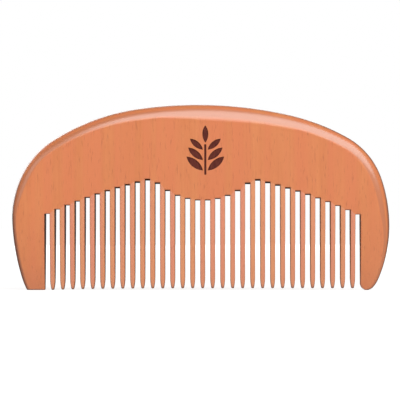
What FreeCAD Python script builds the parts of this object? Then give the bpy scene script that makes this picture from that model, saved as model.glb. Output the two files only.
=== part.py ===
import FreeCAD, Part
import math
import os

from FreeCAD import Vector

# A half-moon beard comb of solid wood, in millimetres. It stands on its end teeth: +X runs along the comb,
# +Y through the board towards the rear face, and +Z up from the tooth tips to the spine. The origin is under
# the middle of the comb, at the foot of the end teeth and halfway through the board.

# The board.
comb_length = 100.0
comb_height = 49.2
board_thickness = 8.0
taper_start = 24.0           # the faces are parallel above this height
taper_radius = 100.0         # and curve in towards the tooth tips below it

# The outline: on each side a chain of tangent arcs, from the highest point down to the foot. The radius of the
# top arc follows from the length of the comb. These are the radii of the arcs below it, and the directions in
# which the arcs meet, in degrees above the horizontal.
apex_x = -1.0
rim_radii_left = (57.0, 22.8, 60.5, 18.0)
rim_angles_left = (82.0, 57.4, 0.0, -16.6)
rim_radii_right = (59.0, 19.8, 37.4, 7.3)
rim_angles_right = (77.8, 60.8, 19.5, -22.8)

# The round-over of the rim: wide along the spine, narrow at the feet.
rim_round_top = 3.0
rim_round_foot = 0.8

# The slots and the thin teeth between them.
slot_count = 32
pitch = 2.653
slot_width = 1.35
slots_centre = 0.467         # the row of slots sits a little to the right of the middle
tooth_width = pitch - slot_width

# The line that the slot ends follow: a hollow in the middle, and a long arc down to each side.
hollow_radius = 18.3
hollow_low = 23.74
hollow_half_width = 13.3
flank_radius = 145.0
flank_centre_x = -18.27
flank_centre_z = -112.16
row_slope = -0.002           # the whole line falls a little to the right

# The saw leaves each slot end leaning: higher at the front face, by this much per mm above lean_from.
lean_slope = 0.035
lean_from = 19.5

# Tooth tips, seen from the front: sides that close in on one arc each, then a small round end.
ogive_length = 2.9
ogive_radius = 12.5
tip_end = 0.28               # height of the round end
tip_clearance = 0.45         # how far the middle tips stay above the foot of the end teeth
tip_clearance_teeth = 5.0    # the tips rise to that over about this many teeth, from the left
tip_side_radius = 1.4        # the round end seen from the side

# The feet of the end teeth, and the broken edges beside their slots.
foot_inner_radius_left = 0.3
foot_inner_radius_right = 1.8
inner_edge_round = 0.25

# The leaf sprig burnt into the front face.
sprig_x = 1.2                # the stem stands a little to the right of the middle
burn_depth = 0.2
stem_bottom = 30.8
stem_top = 38.4
stem_width = 0.55
leaf_width_ratio = 0.34
leaf_gap = 0.35              # between the stem and each leaf
top_leaf_length = 4.6
leaf_pair_count = 3
leaf_pair_low = 31.7
leaf_pair_step = 2.75
leaf_angle = 40.0            # of the side leaves above the horizontal
leaf_long = 5.7              # lowest pair
leaf_shorten = 0.6           # each pair up is this much shorter

half_thickness = board_thickness / 2
half_tooth = tooth_width / 2
half_slot = slot_width / 2
beyond = 60.0                # outside the comb in every direction


def polar(radius, angle):
    """The point at this distance and direction in the XZ plane."""
    turn = math.radians(angle)
    return Vector(radius * math.cos(turn), 0, radius * math.sin(turn))


def line(start, end):
    """A straight edge."""
    return Part.LineSegment(start, end).toShape()


def arc(start, middle, end):
    """A round edge through three points."""
    return Part.Arc(start, middle, end).toShape()


def prism(edges, direction):
    """The closed outline in these edges, extruded along the direction."""
    wire = Part.Wire(Part.__sortEdges__(edges))
    return Part.Face(wire).extrude(direction)


def through_board(edges):
    """An outline drawn in the XZ plane, extruded through the whole board along Y."""
    solid = prism(edges, Vector(0, 2 * beyond, 0))
    solid.translate(Vector(0, -beyond, 0))
    return solid


def top_radius(radii, angles, side):
    """Radius of the top arc that takes the widest point of this side to half of the length."""
    reach = comb_length / 2 - side * apex_x - radii[2]
    for index in (0, 1):
        reach -= (radii[index] - radii[index + 1]) * math.cos(math.radians(angles[index + 1]))
    return radii[0] + reach / math.cos(math.radians(angles[0]))


def outline_side(radii, angles, side):
    """Edges of one side of the outline, from the highest point to the foot; side is 1 right, -1 left. An arc that
    passes the widest point is split there."""
    radii = (top_radius(radii, angles, side),) + radii
    angles = (90.0,) + angles
    centre = Vector(side * apex_x, 0, comb_height - radii[0])
    edges = []
    for index, radius in enumerate(radii):
        start = angles[index]
        if index > 0:
            centre = centre + polar(radii[index - 1] - radius, start)
        if index + 1 < len(angles):
            end = angles[index + 1]
        else:
            end = -math.degrees(math.asin(centre.z / radius))
        bounds = (start, 0.0, end) if start > 0.0 > end else (start, end)
        for high, low in zip(bounds, bounds[1:]):
            points = []
            for angle in (high, (high + low) / 2, low):
                point = centre + polar(radius, angle)
                points.append(Vector(side * point.x, 0, point.z))
            edges.append(arc(*points))
    return edges, points[-1]


def face_offset(height):
    """Distance from the middle of the board to either face."""
    below = max(taper_start - height, 0.0)
    return half_thickness - taper_radius + math.sqrt(taper_radius ** 2 - below ** 2)


def side_profile(foot, bottom_edges):
    """The board seen from its end: parallel faces, arcs down to the height foot, and the given bottom."""
    middle = (taper_start + foot) / 2
    corners = []
    arcs = []
    for side in (-1, 1):
        corner = Vector(-beyond, side * half_thickness, taper_start)
        bend = Vector(-beyond, side * face_offset(middle), middle)
        low = Vector(-beyond, side * face_offset(foot), foot)
        top = Vector(-beyond, side * half_thickness, beyond)
        arcs += [line(top, corner), arc(corner, bend, low)]
        corners.append(top)
    return prism([line(corners[0], corners[1])] + arcs + bottom_edges, Vector(2 * beyond, 0, 0))


def blank_board():
    """The comb before it is sawn: the tapered half-moon with its rim rounded over."""
    right, foot_right = outline_side(rim_radii_right, rim_angles_right, 1)
    left, foot_left = outline_side(rim_radii_left, rim_angles_left, -1)
    outline = through_board(right + left + [line(foot_right, foot_left)])
    foot = face_offset(0.0)
    flat = [line(Vector(-beyond, -foot, 0), Vector(-beyond, foot, 0))]
    board = outline.common(side_profile(0.0, flat))
    return round_rim(board)


def rim_round(height):
    """Radius of the round-over at this height."""
    share = min(max(height / taper_start, 0.0), 1.0)
    return rim_round_foot + (rim_round_top - rim_round_foot) * share ** 1.5


def round_rim(board):
    """Rounds the outline's edges on both faces, with a radius that follows the height."""
    rims = []
    for number, edge in enumerate(board.Edges, 1):
        middle = edge.valueAt((edge.FirstParameter + edge.LastParameter) / 2)
        ends = [vertex.Point for vertex in edge.Vertexes]
        level = abs(ends[0].z - ends[1].z) < 1e-6 and abs(middle.z - ends[0].z) < 1e-6
        on_face = abs(abs(middle.y) - face_offset(middle.z)) < 1e-3
        if on_face and not level:
            rims.append((number, rim_round(ends[0].z), rim_round(ends[1].z)))
    document = FreeCAD.newDocument()
    base = document.addObject("Part::Feature", "board")
    base.Shape = board
    fillet = document.addObject("Part::Fillet", "rounded")
    fillet.Base = base
    fillet.Edges = rims
    document.recompute()
    rounded = fillet.Shape.Solids[0]
    FreeCAD.closeDocument(document.Name)
    return rounded


def slot_x(number):
    """Middle of a slot; number runs from 1 at the left."""
    return slots_centre + (number - (slot_count + 1) / 2) * pitch


def slot_end(number):
    """Height at which a slot ends on the rear face."""
    across = abs(slot_x(number) - slots_centre)
    if across < hollow_half_width:
        height = hollow_low + hollow_radius - math.sqrt(hollow_radius ** 2 - across ** 2)
    else:
        height = flank_centre_z + math.sqrt(flank_radius ** 2 - (across - flank_centre_x) ** 2)
    return height + row_slope * slot_x(number)


def slot_lean(number):
    """How much higher the slot ends on the front face."""
    return lean_slope * (slot_end(number) - lean_from)


def root_points():
    """The line through the tooth roots: level across each slot, slanted across each tooth."""
    points = []
    for number in range(1, slot_count + 1):
        for side in (-1, 1):
            points.append(Vector(slot_x(number) + side * half_slot, 0, slot_end(number)))
    return points


def slot_cutter(number):
    """The space of one slot, with its leaning end."""
    left = slot_x(number) - half_slot
    rear = slot_end(number)
    front = rear + slot_lean(number)
    reach = half_thickness + 1.0
    slope = (front - rear) / board_thickness
    corners = [Vector(left, -reach, -beyond), Vector(left, reach, -beyond)]
    corners.append(Vector(left, reach, rear - slope))
    corners.append(Vector(left, -reach, front + slope))
    edges = [line(corners[index - 1], corners[index]) for index in range(4)]
    return prism(edges, Vector(slot_width, 0, 0))


def leaf(base, length, angle):
    """A pointed leaf in the front face: two equal arcs from its base to its point."""
    point = base + polar(length, angle)
    middle = (base + point) / 2
    bulge = polar(length * leaf_width_ratio / 2, angle + 90)
    upper = arc(base, middle + bulge, point)
    lower = arc(point, middle - bulge, base)
    return upper, lower


def burn_pocket(edges):
    """A pocket burnt into the front face along a closed outline."""
    wire = Part.Wire(Part.__sortEdges__(list(edges)))
    pocket = Part.Face(wire).extrude(Vector(0, burn_depth + 1.0, 0))
    pocket.translate(Vector(0, -half_thickness - 1.0, 0))
    return pocket


def sprig():
    """The stem, its top leaf and its pairs of side leaves, as separate pockets."""
    half_stem = stem_width / 2
    low_left = Vector(sprig_x - half_stem, 0, stem_bottom)
    low_right = Vector(sprig_x + half_stem, 0, stem_bottom)
    high_right = Vector(sprig_x + half_stem, 0, stem_top)
    high_left = Vector(sprig_x - half_stem, 0, stem_top)
    round_low = arc(low_left, Vector(sprig_x, 0, stem_bottom - half_stem), low_right)
    round_high = arc(high_right, Vector(sprig_x, 0, stem_top + half_stem), high_left)
    stem = [round_low, line(low_right, high_right), round_high, line(high_left, low_left)]
    pockets = [burn_pocket(stem)]
    top_base = Vector(sprig_x, 0, stem_top + half_stem + leaf_gap)
    pockets.append(burn_pocket(leaf(top_base, top_leaf_length, 90)))
    for pair in range(leaf_pair_count):
        height = leaf_pair_low + pair * leaf_pair_step
        length = leaf_long - pair * leaf_shorten
        for side in (-1, 1):
            base = Vector(sprig_x + side * (half_stem + leaf_gap), 0, height)
            angle = leaf_angle if side > 0 else 180 - leaf_angle
            pockets.append(burn_pocket(leaf(base, length, angle)))
    return pockets


def back(board, roots):
    """The spine of the comb, above the tooth roots, with the slot ends and the burnt sprig."""
    corners = [Vector(-beyond, 0, roots[0].z)] + roots + [Vector(beyond, 0, roots[-1].z)]
    corners += [Vector(beyond, 0, beyond), Vector(-beyond, 0, beyond)]
    edges = [line(corners[index - 1], corners[index]) for index in range(len(corners))]
    spine = board.common(through_board(edges))
    cutters = [slot_cutter(number) for number in range(1, slot_count + 1)]
    return spine.cut(cutters + sprig())


def tip_height(number):
    """Height of a thin tooth's tip; number runs from 1 at the left."""
    return tip_clearance * (1 - math.exp(-(number - 1) / tip_clearance_teeth))


def tip_half_width(above_tip):
    """Half the tooth's width on the ogive, at this height above the tip."""
    drop = ogive_radius - math.sqrt(ogive_radius ** 2 - (ogive_length - above_tip) ** 2)
    return half_tooth - drop


def tooth_front(centre, tip, root_left, root_right):
    """A thin tooth seen from the front."""
    edges = [line(root_left, root_right)]
    lows = []
    for side, root in ((-1, root_left), (1, root_right)):
        shoulder = Vector(centre + side * half_tooth, 0, tip + ogive_length)
        above = (ogive_length + tip_end) / 2
        bend = Vector(centre + side * tip_half_width(above), 0, tip + above)
        low = Vector(centre + side * tip_half_width(tip_end), 0, tip + tip_end)
        edges += [line(root, shoulder), arc(shoulder, bend, low)]
        lows.append(low)
    edges.append(arc(lows[0], Vector(centre, 0, tip), lows[1]))
    return through_board(edges)


def tooth_side(tip):
    """The same tooth seen from its side: a wedge that ends in a round tip."""
    reach = tip_side_radius
    foot = tip + 0.6 * reach
    offset = face_offset(foot)
    low = Vector(-beyond, 0, tip)
    bottom = [arc(Vector(-beyond, -offset, foot), low, Vector(-beyond, offset, foot))]
    return side_profile(foot, bottom)


def tooth(number, roots):
    """A thin tooth, between two slots."""
    root_left = roots[2 * number - 1]
    root_right = roots[2 * number]
    centre = (root_left.x + root_right.x) / 2
    tip = tip_height(number)
    return tooth_front(centre, tip, root_left, root_right).common(tooth_side(tip))


def end_tooth(board, root, side):
    """The guard at one end of the row, with its inner foot rounded and its inner long edges broken."""
    radius = foot_inner_radius_right if side > 0 else foot_inner_radius_left
    inner_top = Vector(root.x, 0, root.z)
    outer_top = Vector(side * beyond, 0, root.z)
    outer_foot = Vector(side * beyond, 0, 0)
    inner_foot = Vector(root.x + side * radius, 0, 0)
    inner_side = Vector(root.x, 0, radius)
    near_corner = radius * (1 - math.sqrt(0.5))
    corner = Vector(root.x + side * near_corner, 0, near_corner)
    edges = [line(inner_top, outer_top), line(outer_top, outer_foot), line(outer_foot, inner_foot)]
    edges += [arc(inner_foot, corner, inner_side), line(inner_side, inner_top)]
    solid = board.common(through_board(edges)).Solids[0]
    inner_edges = []
    for edge in solid.Edges:
        middle = edge.valueAt((edge.FirstParameter + edge.LastParameter) / 2)
        rise = abs(edge.Vertexes[0].Z - edge.Vertexes[-1].Z)
        on_face = abs(abs(middle.y) - face_offset(middle.z)) < 1e-3
        if on_face and rise > pitch and abs(middle.x - root.x) < inner_edge_round:
            inner_edges.append(edge)
    return solid.makeFillet(inner_edge_round, inner_edges)


def build():
    """Every piece by name."""
    board = blank_board()
    roots = root_points()
    pieces = {"back": back(board, roots)}
    for number in range(1, slot_count):
        pieces["tooth_%02d" % number] = tooth(number, roots)
    pieces["end_tooth_left"] = end_tooth(board, roots[0], -1)
    pieces["end_tooth_right"] = end_tooth(board, roots[-1], 1)
    return pieces


os.makedirs("parts", exist_ok=True)
for name, piece in build().items():
    solid = piece.Solids[0]
    print(name, len(piece.Solids), solid.isValid(), round(solid.Volume, 2))
    solid.exportStep("parts/%s.step" % name)
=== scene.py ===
import math

import bmesh
import bpy
import numpy as np
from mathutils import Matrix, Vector, geometry


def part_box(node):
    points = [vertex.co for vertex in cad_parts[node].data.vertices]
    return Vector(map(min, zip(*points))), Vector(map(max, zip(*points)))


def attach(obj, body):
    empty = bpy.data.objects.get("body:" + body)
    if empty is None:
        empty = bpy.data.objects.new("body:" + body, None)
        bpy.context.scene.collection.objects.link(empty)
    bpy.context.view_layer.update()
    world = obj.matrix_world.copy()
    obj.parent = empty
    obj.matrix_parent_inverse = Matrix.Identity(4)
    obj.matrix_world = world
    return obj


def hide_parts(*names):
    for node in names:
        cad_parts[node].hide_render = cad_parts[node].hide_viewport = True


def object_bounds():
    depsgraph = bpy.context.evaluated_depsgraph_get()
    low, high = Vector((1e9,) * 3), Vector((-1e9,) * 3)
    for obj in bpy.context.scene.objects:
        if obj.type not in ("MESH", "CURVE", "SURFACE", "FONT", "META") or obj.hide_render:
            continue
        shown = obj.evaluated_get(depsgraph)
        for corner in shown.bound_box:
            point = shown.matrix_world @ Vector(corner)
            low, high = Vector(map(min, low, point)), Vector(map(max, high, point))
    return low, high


# The looks of a half-moon beard comb. Shapes are worked out in millimetres around the CAD frame, and
# every mesh is written in metres. The comb stands on its end teeth: +X along it, -Y is its front, +Z up
# to the spine.

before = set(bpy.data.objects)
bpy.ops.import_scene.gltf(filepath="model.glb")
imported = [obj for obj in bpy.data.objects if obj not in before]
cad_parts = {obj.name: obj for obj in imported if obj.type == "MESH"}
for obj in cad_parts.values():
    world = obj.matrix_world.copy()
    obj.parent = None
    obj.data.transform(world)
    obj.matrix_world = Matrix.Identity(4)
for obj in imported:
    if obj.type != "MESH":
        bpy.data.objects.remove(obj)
cad_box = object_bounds()

MM = 0.001
FRONT, REAR = -1, 1          # the sign of y on each face
LEFT, RIGHT = -1, 1          # the sign of x on each side
TOOTH_COUNT = sum(name.startswith("tooth_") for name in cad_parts)

# The board, in millimetres, as in the CAD.
COMB_HEIGHT = cad_box[1].z / MM
HALF_THICKNESS = cad_box[1].y / MM
TAPER_START = 24.0
TAPER_RADIUS = 100.0
APEX_X = -1.0
RIM_RADII = {LEFT: (57.0, 22.8, 60.5, 18.0), RIGHT: (59.0, 19.8, 37.4, 7.3)}
RIM_ANGLES = {LEFT: (82.0, 57.4, 0.0, -16.6), RIGHT: (77.8, 60.8, 19.5, -22.8)}
LEAN_SLOPE = 0.035
LEAN_FROM = 19.5

# The round-over of the rim: a quarter of an ellipse that starts with a small tilt, so that a fine line shows
# where it meets the face. Its width follows the direction of the outline: degrees from +X, over the top, to
# the left.
RIM_TILT = 12.0
RIM_DEPTH_RATIO = 1.235
RIM_DEPTH_MAX = 3.5
RIM_WIDTHS = {-40: 0.7, -17: 0.8, -6: 1.5, 5: 2.7, 20: 3.1, 60: 3.1, 72: 3.3, 80: 3.9, 86: 4.3, 90: 4.1,
              95: 3.2, 110: 2.9, 130: 2.6, 145: 2.5, 157: 2.6, 168: 2.3, 176: 1.6, 184: 1.1, 197: 0.9,
              220: 0.8}

# Small roundings.
EDGE = 0.25                  # along the slots
FOOT_EDGE = 0.35             # under the end teeth
FOOT_INNER = {LEFT: 0.3, RIGHT: 1.8}
FOOT_OUTER = {LEFT: 0.15, RIGHT: 0.7}
FOOT_HALF_LEAST = 0.05       # what the roundings leave of half the thickness under a foot
RIM_HALF_LEAST = 0.2         # what the rim leaves of half the thickness on a thin guard

# Tips of the thin teeth.
OGIVE_LENGTH = 2.9
OGIVE_RADIUS = 12.5
TIP_END = 0.28
TIP_SIDE = 0.84              # height over which the tip closes in, seen from its side
TIP_EDGE_GROWTH = 0.25       # what the side edges' rounding gains on the way to the tip
TIP_EDGE_SHARE = 0.98        # most of a tip's half width that a rounded edge takes

# The burnt sprig.
SPRIG_X = 1.2
BURN_DEPTH = 0.2
BURN_DRAFT = 0.06            # the pockets narrow by this much towards their floors
STEM_BOTTOM = 30.8
STEM_TOP = 38.4
STEM_WIDTH = 0.55
LEAF_WIDTH_RATIO = 0.34
TOP_LEAF_LENGTH = 4.6
LEAF_PAIR_COUNT = 3
LEAF_PAIR_LOW = 31.7
LEAF_PAIR_STEP = 2.75
LEAF_ANGLE = 40.0
LEAF_LONG = 5.7
LEAF_SHORTEN = 0.6
LEAF_GAP = 0.35

# How finely the meshes are divided.
ROUND_TURNS = np.radians(np.linspace(90, 0, 5))      # around a small rounded edge, from the wall to the face
RIM_TURNS = np.radians(np.linspace(90, RIM_TILT, 9))
THROUGH = 3                  # steps through the board, from face to face
FIELD_ROWS = 11              # between the rim and the slots
RIM_GAP = 0.2                # from the round-over to the first of those rows
EDGE_GAP = 0.5               # from a slot's wall or end to the last of them
FAN_COLUMNS = 4              # columns that spread from the outer corner of each end slot
FAN_LENGTH = 6.0             # how much of the outline they take
COLUMN_LEAN_POWER = 5        # the columns lean out late, near the ends of the row
SLOT_END_SHARES = (0.25, 0.5, 0.75)
LEAF_POINTS = 15
STEM_END_POINTS = 6
SPRIG_MARGIN = 0.6           # flat face kept beside the sprig
SPRIG_MARGIN_BELOW = 0.8
ROOT_DEPTHS = (0.0, 0.1, 0.25, 0.5, 1.0, 1.6)        # rows of a thin tooth, down from its root
SHAFT_FROM = 2.6             # where its even rows begin
SHAFT_ROWS = 9
TIP_HEIGHTS = (2.8, 2.4, 2.0, 1.6, 1.25, 0.95, 0.7, 0.5, 0.36, 0.24, 0.15, 0.08, 0.03, 0.005)
GUARD_ROWS = 14
GUARD_ROWS_TO = 2.2
FOOT_HEIGHTS = (1.6, 1.2, 0.85, 0.6, 0.42, 0.3, 0.2, 0.12, 0.05, 0.0)
SHARP_ANGLE = 35.0
MERGE_DISTANCE = 1e-7
SHORT_EDGE = 1e-8
# The second material is the sprig's char, and on the slots' ends partly painted shade.
WOOD, BURNT_AND_SHADE = 0, 1           # material indices on the back


def polar(length, angle):
    """x and z of a point at this distance and direction, in degrees above +X."""
    turn = math.radians(angle)
    return np.array([length * math.cos(turn), length * math.sin(turn)])


# ---- the shape of the board ----

def top_radius(side):
    """Radius of the top arc that takes the widest point of this side to half of the length."""
    radii, angles = RIM_RADII[side], RIM_ANGLES[side]
    reach = cad_box[1].x / MM - side * APEX_X - radii[2]
    for index in (0, 1):
        reach -= (radii[index] - radii[index + 1]) * math.cos(math.radians(angles[index + 1]))
    return radii[0] + reach / math.cos(math.radians(angles[0]))


def outline_arcs(side):
    """The arcs of one side of the outline, from the apex down: centre, radius, first and last direction."""
    radii = (top_radius(side),) + RIM_RADII[side]
    angles = (90.0,) + RIM_ANGLES[side]
    centre = np.array([side * APEX_X, COMB_HEIGHT - radii[0]])
    arcs = []
    for index, radius in enumerate(radii):
        start = angles[index]
        if index > 0:
            centre = centre + polar(radii[index - 1] - radius, start)
        if index + 1 < len(angles):
            end = angles[index + 1]
        else:
            end = -math.degrees(math.asin(centre[1] / radius))
        arcs.append((centre, radius, start, end))
    return arcs


ARCS = {side: outline_arcs(side) for side in (LEFT, RIGHT)}


def outline_length(height, side):
    """Length of the outline from the apex down to this height."""
    length = 0.0
    for centre, radius, start, end in ARCS[side]:
        if centre[1] + radius * math.sin(math.radians(end)) < height:
            end = math.degrees(math.asin((height - centre[1]) / radius))
            return length + radius * math.radians(start - end)
        length += radius * math.radians(start - end)
    return length


def outline_at(length):
    """Point and direction of the outline at this length from the apex, negative to the left."""
    side = RIGHT if length >= 0 else LEFT
    left_over = abs(length)
    for centre, radius, start, end in ARCS[side]:
        angle = start - math.degrees(left_over / radius)
        if angle >= end:
            break
        left_over -= radius * math.radians(start - end)
    point = centre + polar(radius, angle)
    direction = angle if side == RIGHT else 180 - angle
    return np.array([side * point[0], point[1]]), direction


def outline_across(height, side):
    """Distance of the outline from the middle at this height, below the widest point, and its direction."""
    for centre, radius, start, end in ARCS[side][2:]:
        sine = min(max((height - centre[1]) / radius, -1.0), 1.0)
        angle = math.degrees(math.asin(sine))
        if angle >= end:
            break
    across = centre[0] + radius * math.cos(math.radians(angle))
    return across, angle if side == RIGHT else 180 - angle


def rim_width(direction):
    """Width of the round-over where the outline faces this direction."""
    return float(np.interp(direction, list(RIM_WIDTHS), list(RIM_WIDTHS.values())))


def rim_profile(width):
    """Distances in from the silhouette, and how far the surface lies behind the face, over the round-over."""
    tilt = math.radians(RIM_TILT)
    depth = min(RIM_DEPTH_RATIO * width, RIM_DEPTH_MAX)
    inward = width * (1 - np.sin(RIM_TURNS)) / (1 - math.sin(tilt))
    drop = depth * (math.cos(tilt) - np.cos(RIM_TURNS)) / math.cos(tilt)
    return inward, drop


def face_offset(height):
    """Distance of the faces from the middle of the board."""
    below = np.maximum(TAPER_START - np.asarray(height, float), 0)
    return HALF_THICKNESS - TAPER_RADIUS + np.sqrt(TAPER_RADIUS ** 2 - below ** 2)


def rounding(inward, radius):
    """How far a rounded edge lies behind the face, at this distance from the wall."""
    left = radius - np.minimum(inward, radius)
    return radius - np.sqrt(np.maximum(radius ** 2 - left ** 2, 0))


# ---- the slots, read from the CAD teeth ----

def corner_height(node, at_x):
    """Height of a CAD node's highest point on one of its sides."""
    heights = [v.co.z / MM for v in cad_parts[node].data.vertices if abs(v.co.x / MM - at_x) < 0.01]
    return max(heights)


def read_slots():
    """Left wall, right wall and end of each slot, from left to right."""
    lows = []
    highs = [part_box("end_tooth_left")[1].x / MM]
    ends = []
    for number in range(1, TOOTH_COUNT + 1):
        node = "tooth_%02d" % number
        low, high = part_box(node)
        lows.append(low.x / MM)
        highs.append(high.x / MM)
        ends.append(corner_height(node, low.x / MM))
    ends.append(corner_height(node, high.x / MM))
    lows.append(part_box("end_tooth_right")[0].x / MM)
    return np.array(highs), np.array(lows), np.array(ends)


SLOT_LEFT, SLOT_RIGHT, SLOT_END = read_slots()
SLOT_LEAN = LEAN_SLOPE * (SLOT_END - LEAN_FROM)
SLOT_ENDS = {FRONT: SLOT_END + SLOT_LEAN, REAR: SLOT_END}


def root_height(x, face):
    """Height of the line through the slot ends and the tooth roots."""
    corners = np.stack([SLOT_LEFT, SLOT_RIGHT], 1).ravel()
    return np.interp(x, corners, np.repeat(SLOT_ENDS[face], 2))


def slot_distance(x, z, face):
    """Distance of points on a face from the nearest slot."""
    beside = np.maximum(SLOT_LEFT - x[..., None], x[..., None] - SLOT_RIGHT)
    above = z[..., None] - SLOT_ENDS[face]
    return np.hypot(np.maximum(beside, 0), np.maximum(above, 0)).min(axis=-1)


def face_y(x, z, face, rim_drop=0.0):
    """y of the board's surface, with the slots' edges rounded."""
    return face * (face_offset(z) - rim_drop - rounding(slot_distance(x, z, face), EDGE))


# ---- meshes ----

class Shell:
    """The patches of one closed piece, joined where their edges meet."""

    def __init__(self):
        self.bm = bmesh.new()

    def grid(self, x, y, z, material=WOOD):
        """Quads over arrays of points; material may differ by column."""
        rows, columns = x.shape
        materials = np.broadcast_to(material, (columns - 1,))
        places = zip(x.flat, y.flat, z.flat)
        points = [self.bm.verts.new((a * MM, b * MM, c * MM)) for a, b, c in places]
        for i in range(rows - 1):
            for j in range(columns - 1):
                first = i * columns + j
                corners = (first, first + 1, first + columns + 1, first + columns)
                face = self.bm.faces.new([points[k] for k in corners])
                face.material_index = int(materials[j])

    def face(self, corners):
        """One face, from corners in millimetres."""
        self.bm.faces.new([self.bm.verts.new([c * MM for c in corner]) for corner in corners])

    def finish(self, name, node, materials):
        """Joins the patches into a smooth mesh that stands for a CAD node."""
        bmesh.ops.remove_doubles(self.bm, verts=self.bm.verts, dist=MERGE_DISTANCE)
        bmesh.ops.dissolve_degenerate(self.bm, edges=self.bm.edges, dist=SHORT_EDGE)
        loose = [edge for edge in self.bm.edges if not edge.link_faces]
        bmesh.ops.delete(self.bm, geom=loose, context="EDGES")
        bmesh.ops.recalc_face_normals(self.bm, faces=self.bm.faces)
        mesh = bpy.data.meshes.new(name)
        self.bm.to_mesh(mesh)
        self.bm.free()
        for material in materials:
            mesh.materials.append(material)
        mesh.shade_smooth()
        mesh.set_sharp_from_angle(angle=math.radians(SHARP_ANGLE))
        piece = bpy.data.objects.new(name, mesh)
        bpy.context.scene.collection.objects.link(piece)
        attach(piece, "root")
        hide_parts(node)


def between(front, rear):
    """Points in THROUGH steps from a line on the front face to the same line on the rear face."""
    share = np.linspace(0, 1, THROUGH + 1)[:, None]
    return [front[axis] * (1 - share) + rear[axis] * share for axis in range(3)]


def edge_steps():
    """Distances from a wall, over its rounded edge, to where the face begins."""
    return EDGE * (1 - np.sin(ROUND_TURNS))


# ---- the back ----

def back_columns():
    """Where the columns of the back's grid start on the root line: x, the direction in which they leave it,
    and whether the stretch up to the next column is a slot's end."""
    columns = [(SLOT_LEFT[0], angle, False) for angle in np.linspace(180, 90, FAN_COLUMNS)]
    steps = edge_steps()
    for number in range(len(SLOT_END)):
        columns[-1] = (columns[-1][0], columns[-1][1], True)
        width = SLOT_RIGHT[number] - SLOT_LEFT[number]
        columns += [(SLOT_LEFT[number] + width * share, 90, True) for share in SLOT_END_SHARES]
        columns.append((SLOT_RIGHT[number], 90, False))
        if number + 1 < len(SLOT_END):
            low, high = SLOT_RIGHT[number], SLOT_LEFT[number + 1]
            columns += [(low + step, 90, False) for step in steps[1:]]
            columns.append(((low + high) / 2, 90, False))
            columns += [(high - step, 90, False) for step in steps[:0:-1]]
            columns.append((high, 90, False))
    columns += [(SLOT_RIGHT[-1], angle, False) for angle in np.linspace(90, 0, FAN_COLUMNS)[1:]]
    return columns


def outline_place(x, reach):
    """Length along the outline, from its apex, that belongs to a column at x on the root line. The columns
    stand upright in the middle and lean out towards the ends of the row, where they reach this far."""
    across = x - APEX_X
    end = (SLOT_LEFT[0] if across < 0 else SLOT_RIGHT[-1]) - APEX_X
    return across + math.copysign(reach - abs(end), across) * abs(across / end) ** COLUMN_LEAN_POWER


def back_face(face, columns):
    """Grid of points over one face of the back, from the rim down to the root line: x, y, z."""
    left_length = outline_length(SLOT_ENDS[face][0], LEFT)
    right_length = outline_length(SLOT_ENDS[face][-1], RIGHT)
    grid = []
    drops = []
    for x, angle, _ in columns:
        if x <= SLOT_LEFT[0]:
            length = -left_length + FAN_LENGTH * (180 - angle) / 90
        elif x >= SLOT_RIGHT[-1]:
            length = right_length - FAN_LENGTH * angle / 90
        else:
            length = outline_place(x, (left_length if x < APEX_X else right_length) - FAN_LENGTH)
        rim, direction = outline_at(length)
        inward = -polar(1.0, direction)
        if angle in (0, 180):
            inward = np.array([-math.copysign(1.0, rim[0]), 0.0])
        distances, drop = rim_profile(rim_width(direction))
        band = rim + distances[:, None] * inward
        crease = rim + (distances[-1] + RIM_GAP) * inward
        root = np.array([x, root_height(x, face)])
        away = polar(1.0, angle)
        field = np.linspace(crease, root + EDGE_GAP * away, FIELD_ROWS)
        edge = root + edge_steps()[::-1, None] * away
        grid.append(np.concatenate([band, field, edge]))
        drops.append(np.concatenate([drop, np.zeros(len(field) + len(edge))]))
    grid = np.array(grid).transpose(1, 0, 2)
    x, z = grid[..., 0], grid[..., 1]
    return x, face_y(x, z, face, np.array(drops).T), z


def leaf(base, length, angle, width):
    """A pointed leaf as two matched lines of points, from its base to its point."""
    share = np.linspace(0, 1, LEAF_POINTS)
    along = base + share[:, None] * polar(length, angle)
    chord = length / 2
    radius = (chord ** 2 + (width / 2) ** 2) / width
    bulge = np.sqrt(radius ** 2 - (share * length - chord) ** 2) - (radius - width / 2)
    return along + bulge[:, None] * polar(1, angle + 90), along - bulge[:, None] * polar(1, angle + 90)


def stem():
    """The stem as two matched lines of points, with round ends."""
    turn = np.radians(np.linspace(0, 90, STEM_END_POINTS))
    half = STEM_WIDTH / 2
    low = STEM_BOTTOM - half * np.cos(turn)
    high = STEM_TOP + half * np.sin(turn)
    z = np.concatenate([low, high])
    width = half * np.concatenate([np.sin(turn), np.cos(turn)])
    return np.stack([SPRIG_X - width, z], 1), np.stack([SPRIG_X + width, z], 1)


def sprig():
    """Every mark of the burnt sprig."""
    marks = [stem()]
    top = STEM_TOP + STEM_WIDTH / 2 + LEAF_GAP
    top_leaf_width = TOP_LEAF_LENGTH * LEAF_WIDTH_RATIO
    marks.append(leaf(np.array([SPRIG_X, top]), TOP_LEAF_LENGTH, 90, top_leaf_width))
    for pair in range(LEAF_PAIR_COUNT):
        length = LEAF_LONG - pair * LEAF_SHORTEN
        height = LEAF_PAIR_LOW + pair * LEAF_PAIR_STEP
        for side in (LEFT, RIGHT):
            base = np.array([SPRIG_X + side * (STEM_WIDTH / 2 + LEAF_GAP), height])
            angle = LEAF_ANGLE if side == RIGHT else 180 - LEAF_ANGLE
            marks.append(leaf(base, length, angle, length * LEAF_WIDTH_RATIO))
    return marks


def inside(point, loop):
    """True if the point lies in the closed loop."""
    x, z = point
    crossings = 0
    for (ax, az), (bx, bz) in zip(loop, np.roll(loop, -1, 0)):
        if (az > z) != (bz > z) and x < ax + (z - az) * (bx - ax) / (bz - az):
            crossings += 1
    return crossings % 2 == 1


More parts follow.
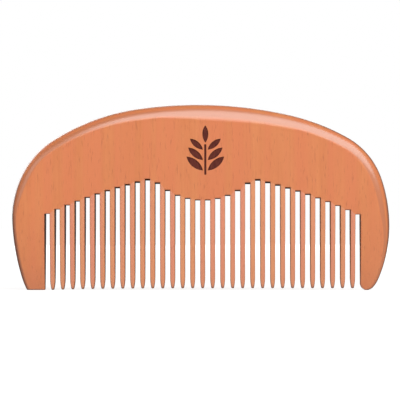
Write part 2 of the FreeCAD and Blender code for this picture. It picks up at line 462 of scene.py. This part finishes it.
def mark_loop(mark):
    """The closed outline of a mark."""
    first, second = mark
    return np.concatenate([first, second[-2:0:-1]])


def burn(shell, marks):
    """The pockets of the sprig: sloping walls and a flat floor."""
    floor_y = BURN_DEPTH - HALF_THICKNESS
    for first, second in marks:
        middle = (first + second) / 2
        half = np.linalg.norm(first - second, axis=1)[:, None] / 2
        shrink = np.maximum(1 - BURN_DRAFT / np.maximum(half, BURN_DRAFT), 0.02)
        floors = [middle + (line - middle) * shrink for line in (first, second)]
        for line, floor in zip((first, second), floors):
            x = np.stack([line[:, 0], floor[:, 0]])
            z = np.stack([line[:, 1], floor[:, 1]])
            y = np.stack([np.full(len(line), -HALF_THICKNESS), np.full(len(line), floor_y)])
            shell.grid(x, y, z, BURNT_AND_SHADE)
        x = np.stack([floors[0][:, 0], middle[:, 0], floors[1][:, 0]])
        z = np.stack([floors[0][:, 1], middle[:, 1], floors[1][:, 1]])
        shell.grid(x, np.full(x.shape, floor_y), z, BURNT_AND_SHADE)


def marked_field(shell, border, marks):
    """The flat front around the sprig: triangles between a border of grid points and the marks."""
    loops = [border] + [mark_loop(mark) for mark in marks]
    points, edges = [], []
    for loop in loops:
        start = len(points)
        points += [Vector(point) for point in loop]
        edges += [(start + k, start + (k + 1) % len(loop)) for k in range(len(loop))]
    made = geometry.delaunay_2d_cdt(points, edges, [], 0, 1e-6)
    for triangle in made[2]:
        corners = [made[0][k] for k in triangle]
        centre = sum(corners, Vector((0, 0))) / 3
        if inside(centre, border) and not any(inside(centre, loop) for loop in loops[1:]):
            shell.face([(corner.x, -HALF_THICKNESS, corner.y) for corner in corners])


def make_back(wood, burnt):
    """The spine, with its rounded rim, the slots' ends and the burnt sprig."""
    columns = back_columns()
    # The slots' ends take the burnt material: saw burn, and painted shade where they face down into the slot.
    end_materials = np.where([column[2] for column in columns[:-1]], BURNT_AND_SHADE, WOOD)
    front = back_face(FRONT, columns)
    rear = back_face(REAR, columns)
    shell = Shell()
    shell.grid(*rear)

    marks = sprig()
    across = np.concatenate([mark_loop(mark)[:, 0] for mark in marks])
    xs = np.array([column[0] for column in columns])
    left = np.searchsorted(xs, across.min() - SPRIG_MARGIN) - 1
    right = np.searchsorted(xs, across.max() + SPRIG_MARGIN)
    heights = front[2][:, (left + right) // 2]
    top = len(RIM_TURNS)
    bottom = int(np.argmax(heights < STEM_BOTTOM - SPRIG_MARGIN_BELOW))
    beside = slice(top, bottom + 1)
    shell.grid(*[axis[:top + 1] for axis in front])
    shell.grid(*[axis[bottom:] for axis in front])
    shell.grid(*[axis[beside, :left + 1] for axis in front])
    shell.grid(*[axis[beside, right:] for axis in front])
    patch = np.stack([axis[beside, left:right + 1] for axis in (front[0], front[2])], 2)
    border = np.concatenate([patch[0, :-1], patch[:-1, -1], patch[-1, :0:-1], patch[:0:-1, 0]])
    marked_field(shell, border, marks)
    burn(shell, marks)

    shell.grid(*between([axis[0] for axis in front], [axis[0] for axis in rear]))
    shell.grid(*between([axis[-1] for axis in front], [axis[-1] for axis in rear]), end_materials)
    for column in (0, -1):
        shell.grid(*between([axis[:, column] for axis in front], [axis[:, column] for axis in rear]))
    shell.finish("back_wood", "back", [wood, burnt])


# ---- the teeth ----

def closed_loft(shell, front, rear):
    """Both faces of a tooth, its two sides and its two ends."""
    shell.grid(*front)
    shell.grid(*rear)
    for column in (0, -1):
        shell.grid(*between([axis[:, column] for axis in front], [axis[:, column] for axis in rear]))
    for row in (0, -1):
        shell.grid(*between([axis[row] for axis in front], [axis[row] for axis in rear]))


def tooth_face(face, low, high, tip):
    """Grid of points over one face of a thin tooth, from its root to its tip: x, y, z."""
    middle, half = (low + high) / 2, (high - low) / 2
    steps = edge_steps()
    x = np.concatenate([low + steps, [middle], high - steps[::-1]])
    root = root_height(x, face)
    shoulder = tip + OGIVE_LENGTH
    depth = np.concatenate([ROOT_DEPTHS, np.linspace(SHAFT_FROM, root.min() - shoulder, SHAFT_ROWS)])
    level = (depth / depth[-1])[:, None]
    z = root * (1 - level) + shoulder * level
    x = np.broadcast_to(x, z.shape)
    y = face_y(x, z, face)

    rows = [(x, y, z)]
    for height in TIP_HEIGHTS:
        down = OGIVE_LENGTH - max(height, TIP_END)
        width = half - (OGIVE_RADIUS - math.sqrt(OGIVE_RADIUS ** 2 - down ** 2))
        offset = float(face_offset(tip + max(height, TIP_SIDE)))
        radius = EDGE + TIP_EDGE_GROWTH * (1 - height / OGIVE_LENGTH)
        if height < TIP_END:
            width *= math.sqrt(1 - (1 - height / TIP_END) ** 2)
        if height < TIP_SIDE:
            side_radius = (offset ** 2 + TIP_SIDE ** 2) / (2 * TIP_SIDE)
            offset = math.sqrt(side_radius ** 2 - (side_radius - height) ** 2)
        radius = min(radius, TIP_EDGE_SHARE * width, TIP_EDGE_SHARE * offset)
        inward = radius * (1 - np.sin(ROUND_TURNS))
        across = np.concatenate([middle - width + inward, [middle], middle + width - inward[::-1]])
        drop = np.concatenate([rounding(inward, radius), [0], rounding(inward[::-1], radius)])
        heights = np.full((1, len(across)), tip + height)
        rows.append((across[None], face * (offset - drop)[None], heights))
    return [np.concatenate([row[axis] for row in rows]) for axis in range(3)]


def make_tooth(number, wood):
    """A thin tooth, with its sawn sides, broken edges and rounded tip."""
    node = "tooth_%02d" % number
    low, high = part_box(node)
    walls = (low.x / MM, high.x / MM, low.z / MM)
    shell = Shell()
    closed_loft(shell, tooth_face(FRONT, *walls), tooth_face(REAR, *walls))
    shell.finish(node + "_wood", node, [wood])


def foot_inset(height, radius):
    """How far a corner rounded by this radius pulls in at this height above the foot."""
    return float(rounding(np.array(height), radius))


def end_tooth_face(face, side):
    """Grid of points over one face of an end tooth, from its root down to its foot: x, y, z."""
    wall = SLOT_LEFT[0] if side == LEFT else SLOT_RIGHT[-1]
    root = SLOT_ENDS[face][0 if side == LEFT else -1]
    steps = edge_steps()[::-1]
    levels = np.concatenate([np.linspace(root, GUARD_ROWS_TO, GUARD_ROWS), FOOT_HEIGHTS])
    rows = []
    for z in levels:
        across, direction = outline_across(z, side)
        outer = side * across - side * foot_inset(z, FOOT_OUTER[side])
        inner = wall + side * foot_inset(z, FOOT_INNER[side])
        distances, drop = rim_profile(rim_width(direction))
        thin = min(1.0, (float(face_offset(z)) - RIM_HALF_LEAST) / drop[0])
        crease = outer - side * (distances[-1] + RIM_GAP)
        field = np.linspace(crease, inner + side * EDGE_GAP, FIELD_ROWS)
        x = np.concatenate([outer - side * distances, field, inner + side * steps])
        flat = np.zeros(len(field))
        y = face_offset(z) - np.concatenate([drop * thin, flat, rounding(steps, EDGE)])
        y = np.maximum(y - foot_inset(z, FOOT_EDGE), FOOT_HALF_LEAST)
        rows.append((x, face * y, np.full(len(x), z)))
    return [np.array([row[axis] for row in rows]) for axis in range(3)]


def make_end_tooth(name, side, wood):
    """The guard at one end of the row."""
    shell = Shell()
    closed_loft(shell, end_tooth_face(FRONT, side), end_tooth_face(REAR, side))
    shell.finish(name + "_wood", name, [wood])


# ---- materials ----

# Scales of the noises, in cycles per metre along x, y and z. The grain runs along z.
BANDS = (260, 260, 14)
STREAKS = (1900, 1900, 60)
MOTTLE = (420, 420, 190)
BLUSHES = (330, 40, 6)
PORES = (3600, 3600, 420)
SOOT = (2400, 2400, 500)

GRAIN_HEIGHT = 0.00003       # metres
SOOT_HEIGHT = 0.00004
COAT_ROUGHNESS = 0.22


def srgb(red, green, blue):
    """A linear colour from 0 to 255 sRGB values."""
    values = [c / 255 for c in (red, green, blue)]
    return [c / 12.92 if c <= 0.04045 else ((c + 0.055) / 1.055) ** 2.4 for c in values] + [1.0]


class Nodes:
    """Small helper to write a node tree."""

    def __init__(self, name):
        self.material = bpy.data.materials.new(name)
        self.material.use_nodes = True
        self.tree = self.material.node_tree
        self.shader = self.tree.nodes["Principled BSDF"]
        coordinates = self.tree.nodes.new("ShaderNodeTexCoord")
        self.place = coordinates.outputs["Object"]
        self.normal = coordinates.outputs["Normal"]

    def link(self, output, target):
        self.tree.links.new(output, target)

    def stretched(self, scale):
        """Object coordinates, scaled by axis; scale is in cycles per metre."""
        node = self.tree.nodes.new("ShaderNodeMapping")
        node.inputs["Scale"].default_value = scale
        self.link(self.place, node.inputs["Vector"])
        return node.outputs["Vector"]

    def noise(self, scale, detail, roughness=0.5):
        """Noise from 0 to 1, with its own scale along each axis."""
        node = self.tree.nodes.new("ShaderNodeTexNoise")
        node.inputs["Scale"].default_value = 1.0
        node.inputs["Detail"].default_value = detail
        node.inputs["Roughness"].default_value = roughness
        self.link(self.stretched(scale), node.inputs["Vector"])
        return node.outputs["Fac"]

    def facing(self, axis):
        """How squarely the surface faces along an axis, from 0 to 1."""
        node = self.tree.nodes.new("ShaderNodeSeparateXYZ")
        self.link(self.normal, node.inputs[0])
        return self.math("ABSOLUTE", node.outputs[axis], 0.0)

    def along(self, axis):
        """The coordinate along an axis, in metres."""
        node = self.tree.nodes.new("ShaderNodeSeparateXYZ")
        self.link(self.place, node.inputs[0])
        return node.outputs[axis]

    def ramp(self, value, low, high, from_value=0.0, to_value=1.0):
        """Maps low..high to from_value..to_value, and holds the ends."""
        node = self.tree.nodes.new("ShaderNodeMapRange")
        self.link(value, node.inputs["Value"])
        settings = {"From Min": low, "From Max": high, "To Min": from_value, "To Max": to_value}
        for key, number in settings.items():
            node.inputs[key].default_value = number
        return node.outputs["Result"]

    def math(self, operation, first, second):
        """One operation on two numbers or outputs."""
        node = self.tree.nodes.new("ShaderNodeMath")
        node.operation = operation
        for socket, value in zip(node.inputs, (first, second)):
            if isinstance(value, (int, float)):
                socket.default_value = value
            else:
                self.link(value, socket)
        return node.outputs[0]

    def mix(self, share, first, second):
        """Mixes two colours."""
        node = self.tree.nodes.new("ShaderNodeMix")
        node.data_type = "RGBA"
        for socket, value in zip((node.inputs[0], node.inputs[6], node.inputs[7]), (share, first, second)):
            if isinstance(value, (int, float, list)):
                socket.default_value = value
            else:
                self.link(value, socket)
        return node.outputs[2]

    def bump(self, height, distance, strength):
        """Raises the surface by up to this distance."""
        node = self.tree.nodes.new("ShaderNodeBump")
        node.inputs["Strength"].default_value = strength
        node.inputs["Distance"].default_value = distance
        self.link(height, node.inputs["Height"])
        self.link(node.outputs["Normal"], self.shader.inputs["Normal"])


def wood_colour(nodes, light, dark, pore, edge, blush, highlight_shade):
    """The wood's colour: broad bands, fine streaks and pores, all running along the teeth. Surfaces turned
    away from the faces, along the rim and in the slots, go darker: partly the darker sawn wood, partly
    painted shade, which is strongest around the feet and at the left end. The inner band of the round-over,
    where the key lamp's highlight falls, is tinted darker and greyer: painted shade that tones the highlight
    down."""
    bands = nodes.noise(BANDS, 3.0)
    streaks = nodes.noise(STREAKS, 3.0, 0.6)
    mottle = nodes.noise(MOTTLE, 2.0)
    broad = nodes.ramp(bands, 0.3, 0.7, 0.0, 0.45)
    fine = nodes.ramp(streaks, 0.3, 0.7, 0.0, 0.35)
    share = nodes.math("ADD", broad, fine)
    share = nodes.math("ADD", share, nodes.ramp(mottle, 0.3, 0.7, 0.0, 0.2))
    colour = nodes.mix(share, light, dark)
    blushes = nodes.noise(BLUSHES, 1.0)
    colour = nodes.mix(nodes.ramp(blushes, 0.4, 0.6, 0.0, 0.8), colour, blush)
    pores = nodes.noise(PORES, 2.0)
    colour = nodes.mix(nodes.ramp(pores, 0.6, 0.76, 0.0, 0.4), colour, pore)
    facing = nodes.facing("Y")
    # Painted shade: the inner band of the round-over, where the key lamp's highlight falls, is tinted darker
    # and greyer to tone the highlight down.
    not_steep = nodes.ramp(facing, 0.7, 0.8)
    not_flat = nodes.ramp(facing, 0.95, 0.985, 1.0, 0.0)
    highlight_band = nodes.math("MULTIPLY", not_steep, not_flat)
    colour = nodes.mix(nodes.math("MULTIPLY", highlight_band, 0.85), colour, highlight_shade)
    # Partly the darker sawn wood, partly painted shade: faces turned away from the front and rear (the rim's
    # outer edge and the slot walls) go towards the edge colour, more so towards the feet and at the left end.
    reach = nodes.ramp(nodes.along("Z"), 0.012, 0.03, 0.8, 0.5)
    reach = nodes.math("ADD", reach, nodes.ramp(nodes.along("X"), -0.05, -0.04, 0.25, 0.0))
    turned = nodes.math("SUBTRACT", reach, facing)
    return nodes.mix(nodes.ramp(turned, 0.0, 0.35, 0.0, 0.85), colour, edge), streaks, pores


def make_wood(name, light, dark, pore, edge, blush, highlight_shade):
    """Waxed fruit wood, polished on its faces and dull where it was sawn."""
    nodes = Nodes(name)
    colour, streaks, pores = wood_colour(nodes, light, dark, pore, edge, blush, highlight_shade)
    nodes.link(colour, nodes.shader.inputs["Base Color"])
    nodes.link(nodes.ramp(streaks, 0.3, 0.7, 0.3, 0.38), nodes.shader.inputs["Roughness"])
    facing = nodes.facing("Y")
    nodes.link(nodes.ramp(facing, 0.1, 0.45, 0.05, 0.8), nodes.shader.inputs["Specular IOR Level"])
    nodes.link(nodes.ramp(facing, 0.1, 0.45), nodes.shader.inputs["Coat Weight"])
    nodes.shader.inputs["Coat Roughness"].default_value = COAT_ROUGHNESS
    grain = nodes.math("SUBTRACT", streaks, nodes.ramp(pores, 0.63, 0.76, 0.0, 0.8))
    nodes.bump(grain, GRAIN_HEIGHT, 0.6)
    return nodes.material


def make_burnt_and_shade(name):
    """Wood charred by the branding iron and by the saw, darkened further as painted shade where it faces away
    from the front and rear, as on the slots' ends.
    """
    nodes = Nodes(name)
    soot = nodes.noise(SOOT, 3.0, 0.6)
    colour = nodes.mix(nodes.ramp(soot, 0.3, 0.7), srgb(78, 34, 30), srgb(106, 54, 44))
    # Painted shade: faces turned away from the front and rear, such as the slots' ends and the pockets'
    # walls, go darker still.
    colour = nodes.mix(nodes.ramp(nodes.facing("Y"), 0.3, 0.7, 1.0, 0.0), colour, srgb(46, 20, 16))
    nodes.link(colour, nodes.shader.inputs["Base Color"])
    nodes.link(nodes.ramp(soot, 0.3, 0.7, 0.75, 0.9), nodes.shader.inputs["Roughness"])
    nodes.shader.inputs["Specular IOR Level"].default_value = 0.1
    nodes.bump(soot, SOOT_HEIGHT, 0.7)
    return nodes.material


# ---- camera, light and floor ----

CAMERA_DISTANCE = 0.75
CAMERA_SIDE = 0.008
CAMERA_HEIGHT = 0.020
FRAME_WIDTH = 0.1063
FRAME_CENTRE = (-0.00025, 0.0239)
SENSOR = 36.0                # millimetres
LAMP_AIM = (0, 0, 0.025)
WORLD_LIGHT = 0.15
FLOOR_REACH = 3.0


def make_camera():
    """A long lens straight in front of the comb, level with its teeth."""
    data = bpy.data.cameras.new("camera")
    data.sensor_width = SENSOR
    data.lens = SENSOR * CAMERA_DISTANCE / FRAME_WIDTH
    data.shift_x = (FRAME_CENTRE[0] - CAMERA_SIDE) / FRAME_WIDTH
    data.shift_y = (FRAME_CENTRE[1] - CAMERA_HEIGHT) / FRAME_WIDTH
    data.clip_end = 50.0
    camera = bpy.data.objects.new("camera", data)
    camera.location = (CAMERA_SIDE, -CAMERA_DISTANCE, CAMERA_HEIGHT)
    camera.rotation_euler = (math.radians(90), 0, 0)
    bpy.context.scene.collection.objects.link(camera)
    bpy.context.scene.camera = camera


def area_light(name, place, size, radiance):
    """A soft lamp of this width and height, turned towards the comb."""
    data = bpy.data.lights.new(name, "AREA")
    data.shape = "RECTANGLE"
    data.size, data.size_y = size
    data.energy = radiance * math.pi * size[0] * size[1]
    lamp = bpy.data.objects.new(name, data)
    lamp.location = place
    lamp.rotation_euler = (Vector(LAMP_AIM) - Vector(place)).to_track_quat("-Z", "Y").to_euler()
    bpy.context.scene.collection.objects.link(lamp)


def make_lights():
    """A wide soft box above in front, a little to the right, a weak one on the left, and one behind."""
    area_light("key", (0.28, -0.47, 0.61), (1.35, 0.7), 3.0)
    area_light("left", (-0.75, -0.6, 0.5), (0.6, 0.5), 1.0)
    area_light("behind", (-0.35, 0.9, 0.35), (1.2, 0.6), 3.0)


def make_world():
    """White to the camera, and a dim even light for everything else."""
    world = bpy.data.worlds.new("studio")
    bpy.context.scene.world = world
    world.use_nodes = True
    tree = world.node_tree
    background = tree.nodes["Background"]
    path = tree.nodes.new("ShaderNodeLightPath")
    level = tree.nodes.new("ShaderNodeMapRange")
    level.inputs["To Min"].default_value = WORLD_LIGHT
    level.inputs["To Max"].default_value = 1.0
    tree.links.new(path.outputs["Is Camera Ray"], level.inputs["Value"])
    tree.links.new(level.outputs["Result"], background.inputs["Strength"])
    background.inputs["Color"].default_value = (1, 1, 1, 1)


def make_floor():
    """A plain pale floor, which glows a little more away from the comb, where the lamps don't reach."""
    mesh = bpy.data.meshes.new("floor")
    reach = FLOOR_REACH
    corners = [(-reach, -reach, 0), (reach, -reach, 0), (reach, reach, 0), (-reach, reach, 0)]
    mesh.from_pydata(corners, [], [(0, 1, 2, 3)])
    floor = bpy.data.objects.new("floor", mesh)
    bpy.context.scene.collection.objects.link(floor)
    nodes = Nodes("pale_floor")
    nodes.shader.inputs["Base Color"].default_value = (0.25, 0.25, 0.25, 1)
    nodes.shader.inputs["Roughness"].default_value = 0.9
    nodes.shader.inputs["Specular IOR Level"].default_value = 0.0
    nodes.shader.inputs["Emission Color"].default_value = (1, 1, 1, 1)
    away = nodes.tree.nodes.new("ShaderNodeVectorMath")
    away.operation = "LENGTH"
    nodes.link(nodes.place, away.inputs[0])
    glow = nodes.ramp(away.outputs["Value"], 0.1, 1.0, 0.82, 1.02)
    nodes.link(glow, nodes.shader.inputs["Emission Strength"])
    mesh.materials.append(nodes.material)
    floor.visible_glossy = False


# ---- the comb ----

# In both woods the fourth colour is the darker sawn wood that also paints shade along the rim, in the slots,
# at the feet and at the left end; the sixth is painted shade over the round-over's highlight band.
wood = make_wood("fruit_wood", srgb(221, 136, 81), srgb(207, 115, 64), srgb(158, 76, 41), srgb(80, 41, 28),
                 srgb(217, 122, 75), srgb(189, 113, 74))
tooth_wood = make_wood("fruit_wood_teeth", srgb(224, 149, 102), srgb(211, 131, 86), srgb(162, 88, 58),
                       srgb(104, 58, 40), srgb(220, 135, 106), srgb(214, 135, 92))
burnt = make_burnt_and_shade("burnt_and_shaded_wood")

make_back(wood, burnt)
for number in range(1, TOOTH_COUNT + 1):
    make_tooth(number, tooth_wood)
make_end_tooth("end_tooth_left", LEFT, wood)
make_end_tooth("end_tooth_right", RIGHT, wood)

make_camera()
make_lights()
make_world()
make_floor()
bpy.context.scene.view_settings.view_transform = "Standard"
